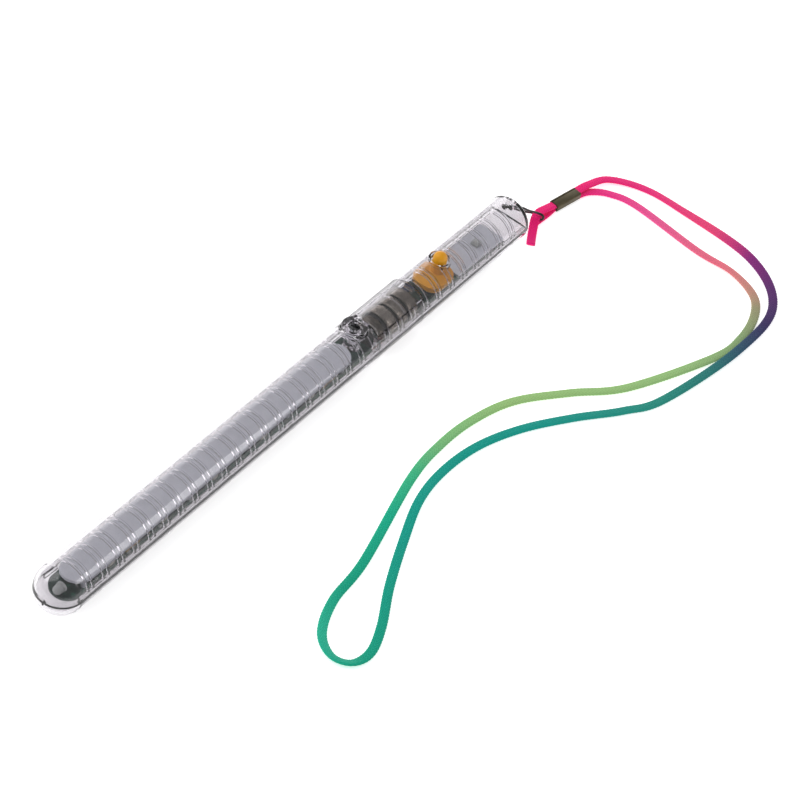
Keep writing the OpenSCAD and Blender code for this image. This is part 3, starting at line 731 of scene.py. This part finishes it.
joint_radius, joint_spread, joint_sink, joint_squash = 0.62, 1.25, 0.1, 0.8
deselect()
bpy.ops.mesh.primitive_uv_sphere_add(segments=12, ring_count=8, radius=joint_radius * mm,
                                     location=(0, 0, 0))
joint = bpy.context.object
joint.name = "solder_joint"
open_mesh(joint)
pick_faces(joint, lambda middle, normal: middle.z < 0.05)
bpy.ops.mesh.delete(type="FACE")
bpy.ops.mesh.select_mode(type="EDGE")
bpy.ops.mesh.select_all(action="SELECT")
bpy.ops.mesh.region_to_loop()
bpy.ops.mesh.edge_face_add()
close_mesh()
solder_places = [(x, side * 4.5) for x in range(-97, 22, 14) for side in (-1, 1)]
solder_places += [(x, side * 4.4) for x in (62, 68.5, 76, 88, 98) for side in (-1, 1)]
copies = []
for x, y in solder_places:
    blob = joint.copy()
    blob.data = joint.data.copy()
    bpy.context.scene.collection.objects.link(blob)
    for spot in blob.data.vertices:
        level = (spot.co.z - joint_sink * mm) * joint_squash + board_top * mm
        spot.co = Vector((spot.co.x * joint_spread + x * mm, spot.co.y + y * mm, level))
    copies.append(blob)
work_on(joint)
bpy.ops.object.delete()
deselect()
for blob in copies:
    blob.select_set(True)
bpy.context.view_layer.objects.active = copies[0]
bpy.ops.object.join()
solder = copies[0]
solder.name = "solder_joints"
smooth(solder, 60)
tin = surface("solder_tin", (150, 150, 148), (190, 190, 188), wear=0.6, rough=0.3, metal=0.9,
              grain=0.01)[0]
give(solder, tin, "barrel", "plated_steel")


# ---- LEDs ----
# Small surface LEDs: a white moulded cup on a square base, filled with a clear,
# slightly domed lens over the yellow phosphor.

led_material, _, shader, _ = surface("led_lens", (226, 224, 210), (240, 240, 232), wear=0.5,
                                     rough=0.22, grain=0.004)
shader.inputs["Coat Weight"].default_value = 0.4
led_first, led_pitch, led_row = -90.0, 23.3, -2.9
led_side, led_base, led_corner = 2.8, 0.9, 0.35
deselect()
bpy.ops.mesh.primitive_cube_add(size=led_side * mm, location=(0, 0, led_side / 2 * mm))
led_body = bpy.context.object
led_body.name = "led_lamp"
set_place(led_body)
open_mesh(led_body)
pick_faces(led_body, lambda middle, normal: normal.z > facing)
bpy.ops.transform.translate(value=(0, 0, (led_base - led_side) * mm))
pick_edges(led_body, lambda a, b: abs(a.z - b.z) > 0.5)
bpy.ops.mesh.bevel(offset=led_corner * mm, segments=3, affect="EDGES")
pick_faces(led_body, lambda middle, normal: normal.z > facing)
bpy.ops.mesh.inset(thickness=0.3 * mm, depth=-0.08 * mm)
bpy.ops.mesh.inset(thickness=0.05 * mm, depth=0)
for lens_step, ratio in ((0.35, 0.88), (0.25, 0.7), (0.15, 0.45)):
    push((0, 0, lens_step))
    shrink(ratio, (0, 0, 0), 2)
close_mesh()
smooth(led_body, 50)
# The lamps in the tip and the tail are of clear resin, greyer than the others
clear_lens = surface("clear_lens", (160, 164, 162), (180, 184, 182), wear=0.5, rough=0.14,
                     grain=0.004)[0]
led_places = {"led_%d" % (k + 1): (led_first + led_pitch * k, led_row, board_top)
              for k in range(5)}
tail_led_x, reflector_thick = 95.2, 0.9
led_places["tail_led"] = (tail_led_x, 0, board_top + reflector_thick)
for node, place in led_places.items():
    lens = clear_lens if node == "tail_led" else led_material
    lamp = led_body.copy()
    lamp.data = led_body.data.copy()
    lamp.name = node + "_lamp"
    bpy.context.scene.collection.objects.link(lamp)
    lamp.data.transform(Matrix.Translation(Vector(place) * mm))
    give(lamp, lens, "barrel", "led_lens", node)
work_on(led_body)
bpy.ops.object.delete()
dress(clear_lens, "tip_led")


# ---- Driver chip, resistors and capacitor ----
# The chip is bonded to the board under a drop of black epoxy. The resistors are
# lacquered, with painted bands and tinned leads, and the capacitor has a dark sleeve.

epoxy = surface("black_plastic", (14, 14, 15), (34, 34, 36), wear=0.5, rough=0.35,
                grain=0.01)[0]
dress(epoxy, "driver_chip")
sleeve = surface("capacitor_sleeve", (22, 28, 52), (60, 66, 92), wear=0.4, rough=0.25,
                 grain=0.004)[0]
dress(sleeve, "capacitor")

beige, brown, black, orange, gold = ((176, 156, 112), (110, 60, 24), (24, 22, 20), (170, 60, 20),
                                     (150, 120, 50))
resistor_bands = [(0.0, beige), (0.18, brown), (0.26, beige), (0.38, black), (0.46, beige),
                  (0.56, orange), (0.64, beige), (0.78, gold), (0.86, beige)]
lacquer, tree, _, marks = surface("resistor_body", beige, (196, 178, 138), wear=0.6, rough=0.35,
                                  grain=0.01)
along = tree.nodes.new("ShaderNodeAttribute")
along.attribute_name = "along"
bands = tree.nodes.new("ShaderNodeValToRGB")
bands.color_ramp.interpolation = "CONSTANT"
while len(bands.color_ramp.elements) < len(resistor_bands):
    bands.color_ramp.elements.new(0.5)
for element, (place, colour) in zip(bands.color_ramp.elements, resistor_bands):
    element.position = place
    element.color = paint(*colour)
tree.links.new(along.outputs["Fac"], bands.inputs["Fac"])
tree.links.new(bands.outputs["Color"], marks.inputs["Colour"])

resistor_length, resistor_thick, waist_radius, lead_thick = 6.0, 1.8, 0.72, 0.5
resistor_row = led_row - 0.8
deselect()
bpy.ops.mesh.primitive_cylinder_add(vertices=24, radius=waist_radius * mm,
                                    depth=resistor_length * mm,
                                    rotation=(0, math.pi / 2, 0))
resistor = bpy.context.object
resistor.name = "resistor"
set_place(resistor)
open_mesh(resistor)
for cut in (-2.6, -2.2, -1.6, 1.6, 2.2, 2.6):
    bpy.ops.mesh.select_all(action="SELECT")
    bpy.ops.mesh.bisect(plane_co=(cut * mm, 0, 0), plane_no=(1, 0, 0))
# The body is a little thicker over its end caps
for low, high in ((-2.65, -2.15), (2.15, 2.65)):
    pick_edges(resistor, lambda a, b: low < a.x < high and low < b.x < high)
    shrink(1.22, (0, 0, 0), 0)
for side in (-1, 1):
    pick_faces(resistor, lambda middle, normal: normal.x * side > facing)
    bpy.ops.mesh.inset(thickness=0.25 * mm, depth=0)
    push((0.12 * side, 0, 0))
    shrink(0.6, (3 * side, 0, 0), 0)
close_mesh()
smooth(resistor, 60)
mark = resistor.data.attributes.new("along", "FLOAT", "POINT")
mark.data.foreach_set("value", [spot.co.x / mm / resistor_length + 0.5
                                for spot in resistor.data.vertices])
for node, x in (("resistor_1", -81.0), ("resistor_2", 11.2)):
    middle_z = board_top + resistor_thick / 2
    body = resistor.copy()
    body.data = resistor.data.copy()
    body.name = node + "_body"
    bpy.context.scene.collection.objects.link(body)
    body.location = Vector((x, resistor_row, middle_z)) * mm
    set_place(body)
    give(body, lacquer, "barrel", "resistor_body", node)
    lead_steps = [(4.75, board_top), (4.7, middle_z - 0.3), (4.4, middle_z), (3, middle_z)]
    lead = [(x - far, resistor_row, level) for far, level in lead_steps]
    lead += [(x + far, resistor_row, level) for far, level in reversed(lead_steps)]
    leads = bent_wire(node + "_leads", lead, lead_thick, around=3)
    give(leads, tin, "barrel", "plated_steel")
work_on(resistor)
bpy.ops.object.delete()


# ---- Button and switch ----
# The button is one amber moulding: a domed plunger on a flat foot. The foot lies on
# a square tact switch that is soldered to the tail board.

plunger_x, plunger_radius, plunger_top = 73.4, 2.35, 18.8
foot_middle, foot_length, foot_width, foot_corner = 70.9, 13.0, 10.4, 4
foot_low, foot_thick = 8.9, 2.0
dome_high, dome_steps, dome_step_angle = plunger_radius * 1.1, 8, 11
deselect()
foot_place = Vector((foot_middle, 0, foot_low + foot_thick / 2)) * mm
bpy.ops.mesh.primitive_cube_add(size=mm, location=foot_place)
button = bpy.context.object
button.name = "push_button"
button.scale = (foot_length, foot_width, foot_thick)
set_place(button)
open_mesh(button)
pick_edges(button, lambda a, b: abs(a.z - b.z) > 1)
bpy.ops.mesh.bevel(offset=foot_corner * mm, segments=12, affect="EDGES")
pick_faces(button, lambda middle, normal: abs(normal.z) > facing)
bpy.ops.mesh.inset(thickness=0.25 * mm, depth=0)
close_mesh()
deselect()
shank_low = foot_low + foot_thick - 0.5
shank_high = 4
bpy.ops.mesh.primitive_cylinder_add(
    vertices=48, radius=plunger_radius * mm, depth=shank_high * mm,
    location=Vector((plunger_x, 0, shank_low + shank_high / 2)) * mm)
plunger = bpy.context.object
plunger.name = "plunger"
set_place(plunger)
open_mesh(plunger)
pick_faces(plunger, lambda middle, normal: normal.z > facing)
push((0, 0, plunger_top - dome_high - (shank_low + shank_high)))
reach, level = 1.0, 0.0
for step in range(1, dome_steps + 1):
    angle = math.radians(step * dome_step_angle)
    now_reach, now_level = math.cos(angle), math.sin(angle)
    push((0, 0, (now_level - level) * dome_high))
    shrink(now_reach / reach, (plunger_x, 0, 0), 2)
    reach, level = now_reach, now_level
close_mesh()
weld = button.modifiers.new("one_moulding", "BOOLEAN")
weld.operation = "UNION"
weld.solver = "EXACT"
weld.object = plunger
work_on(button)
bpy.ops.object.modifier_apply(modifier="one_moulding")
work_on(plunger)
bpy.ops.object.delete()
bevel = button.modifiers.new("soft_edges", "BEVEL")
bevel.width = 0.15 * mm
bevel.segments = 3
bevel.limit_method = "ANGLE"
bevel.angle_limit = math.radians(50)
work_on(button)
bpy.ops.object.modifier_apply(modifier="soft_edges")
smooth(button)
amber, _, shader, _ = surface("amber_plastic", (216, 148, 0), (224, 160, 2), wear=0.5, rough=0.4,
                              spread=0.2, grain=0.01, specular=0.4)
shader.inputs["Subsurface Weight"].default_value = 0.06
shader.inputs["Subsurface Radius"].default_value = (1.0, 0.6, 0.1)
shader.inputs["Subsurface Scale"].default_value = 1.2 * mm
give(button, amber, "button_body", "yellow_plastic", "button")
dress(epoxy, "switch_body", "switch_plunger")


# ---- Button cells ----
# Three nickel-plated cells in a row. Each is a pressed can, rolled in over a black
# ring that seals the smaller cap.

cell_radius, cell_thick, cap_radius, cap_thick = 5.8, 5.4, 4.6, 1.1
cells_start, rim_round = 39.45, 0.42
deselect()
can_thick = cell_thick - cap_thick
bpy.ops.mesh.primitive_cylinder_add(
    vertices=72, radius=cell_radius * mm, depth=can_thick * mm, rotation=(0, math.pi / 2, 0),
    location=Vector((cap_thick + can_thick / 2, 0, barrel_axis)) * mm)
cell = bpy.context.object
cell.name = "button_cell"
set_place(cell)
open_mesh(cell)
# The can's floor has a shallow step, and its mouth is rolled in over the seal and cap
pick_faces(cell, lambda middle, normal: normal.x > facing)
bpy.ops.mesh.inset(thickness=0.7 * mm, depth=0)
bpy.ops.mesh.inset(thickness=0.25 * mm, depth=-0.12 * mm)
pick_faces(cell, lambda middle, normal: normal.x < -facing)
bpy.ops.mesh.inset(thickness=0.55 * mm, depth=0)
bpy.ops.mesh.inset(thickness=0.2 * mm, depth=-0.25 * mm)
bpy.ops.mesh.inset(thickness=0.45 * mm, depth=0)
push((-(cap_thick + 0.1), 0, 0))
bpy.ops.mesh.inset(thickness=0.4 * mm, depth=0.15 * mm)
pick_edges(cell, lambda a, b: abs(math.hypot(a.y, a.z - barrel_axis) - cell_radius) < 0.01
           and abs(math.hypot(b.y, b.z - barrel_axis) - cell_radius) < 0.01
           and abs(a.x - b.x) < 0.01)
bpy.ops.mesh.bevel(offset=rim_round * mm, segments=4, affect="EDGES")
close_mesh()
smooth(cell, 40)
nickel = surface("cell_steel", (120, 113, 104), (178, 172, 162), wear=0.6, rough=0.2, spread=0.3,
                 metal=0.95, grain=0.008, stretch=(0.3, 1, 1))[0]
gasket = surface("cell_gasket", (18, 18, 18), (30, 30, 30), rough=0.5)[0]
for k in range(3):
    one = cell.copy()
    one.data = cell.data.copy()
    one.name = "button_cell_%d" % (k + 1)
    bpy.context.scene.collection.objects.link(one)
    start = cells_start + cell_thick * k
    one.location = (start * mm, 0, 0)
    set_place(one)
    give(one, nickel, "barrel", "cell_steel", "cell_%d" % (k + 1))
    one.data.materials.append(gasket)
    for face in one.data.polygons:
        radius = math.hypot(face.center.y / mm, face.center.z / mm - barrel_axis)
        by_the_mouth = face.center.x / mm < start + cap_thick + 0.35
        if by_the_mouth and cap_radius - 0.02 < radius < cell_radius - 0.6:
            face.material_index = 1
work_on(cell)
bpy.ops.object.delete()


# ---- Contact spring, plates and link wires ----
# A conical spring of plated wire on a stamped plate presses the cells against the
# other plate, and two insulated wires run under them to the tail board.

plated = surface("plated_steel", (196, 194, 190), (226, 224, 220), wear=0.6, rough=0.22,
                 metal=0.95, grain=0.006)[0]
spring_start, spring_end, spring_wire = 34.85, 39.45, 0.5
spring_wide, spring_taper = 3.6, 1.5
turns, steps_each = 3, 16
coil = []
for i in range(turns * steps_each + 1):
    done = i / (turns * steps_each)
    angle = 2 * math.pi * turns * done
    radius = spring_wide - spring_taper * done
    x = spring_start + spring_wire / 2 + done * (spring_end - spring_start - spring_wire)
    coil.append((x, radius * math.cos(angle), barrel_axis + radius * math.sin(angle)))
spring = bent_wire("coil_spring", coil, spring_wire, around=3)
give(spring, plated, "barrel", "plated_steel", "contact_spring")
dress(plated, "spring_plate", "contact_plate")
red_pvc = surface("red_insulation", (150, 24, 20), (176, 50, 42), rough=0.35, grain=0.004)[0]
black_pvc = surface("black_insulation", (16, 16, 16), (36, 36, 36), rough=0.35,
                    grain=0.004)[0]
dress(red_pvc, "link_wire_red")
dress(black_pvc, "link_wire_black")


# ---- Door screw ----
# A small blackened pan-head screw with a cross recess and a rolled thread. It holds
# the door's ear down on the post.

screw_x, screw_y, screw_seat, screw_tip = 29.7, 1.0, 14.4, 10.2
head_radius, head_high, head_side, shank_radius = 1.9, 1.2, 0.6, 1.0
thread_pitch, thread_depth = 0.4, 0.8
deselect()
bpy.ops.mesh.primitive_cylinder_add(
    vertices=48, radius=head_radius * mm, depth=head_side * mm,
    location=Vector((screw_x, screw_y, screw_seat + head_side / 2)) * mm)
screw = bpy.context.object
screw.name = "cross_screw"
set_place(screw)
open_mesh(screw)
pick_faces(screw, lambda middle, normal: normal.z > facing)
reach, level = 1.0, 0.0
for step in range(1, 6):
    angle = math.radians(step * 15)
    now_reach, now_level = 0.55 + 0.45 * math.cos(angle), math.sin(angle)
    push((0, 0, (now_level - level) * (head_high - head_side)))
    shrink(now_reach / reach, (screw_x, screw_y, 0), 2)
    reach, level = now_reach, now_level
pick_faces(screw, lambda middle, normal: normal.z < -facing)
bpy.ops.mesh.inset(thickness=(head_radius - shank_radius) * mm, depth=0)
push((0, 0, -0.3))
threads = int((screw_seat - screw_tip - 0.9) / thread_pitch)
for turn in range(threads):
    push((0, 0, -thread_pitch / 2))
    shrink(thread_depth, (screw_x, screw_y, 0), 2)
    push((0, 0, -thread_pitch / 2))
    shrink(1 / thread_depth, (screw_x, screw_y, 0), 2)
push((0, 0, -(screw_seat - screw_tip - 0.3 - threads * thread_pitch)))
shrink(0.5, (screw_x, screw_y, 0), 2)
close_mesh()
slot_length, slot_width, slot_deep, slot_turn = 2.4, 0.55, 1.3, math.radians(20)
head_top = Vector((screw_x, screw_y, screw_seat + head_high)) * mm
for turn in (0, math.pi / 2):
    deselect()
    bpy.ops.mesh.primitive_cube_add(size=mm, location=head_top)
    blade = bpy.context.object
    blade.scale = (slot_length, slot_width, slot_deep)
    blade.rotation_euler = (0, 0, turn + slot_turn)
    set_place(blade)
    cut = screw.modifiers.new("recess", "BOOLEAN")
    cut.operation = "DIFFERENCE"
    cut.solver = "EXACT"
    cut.object = blade
    work_on(screw)
    bpy.ops.object.modifier_apply(modifier="recess")
    work_on(blade)
    bpy.ops.object.delete()
smooth(screw, 30)
dark_steel = surface("dark_steel", (40, 40, 42), (150, 150, 152), wear=0.5, rough=0.28,
                     metal=0.9, grain=0.01)[0]
give(screw, dark_steel, "screw", "dark_steel", "door_screw")
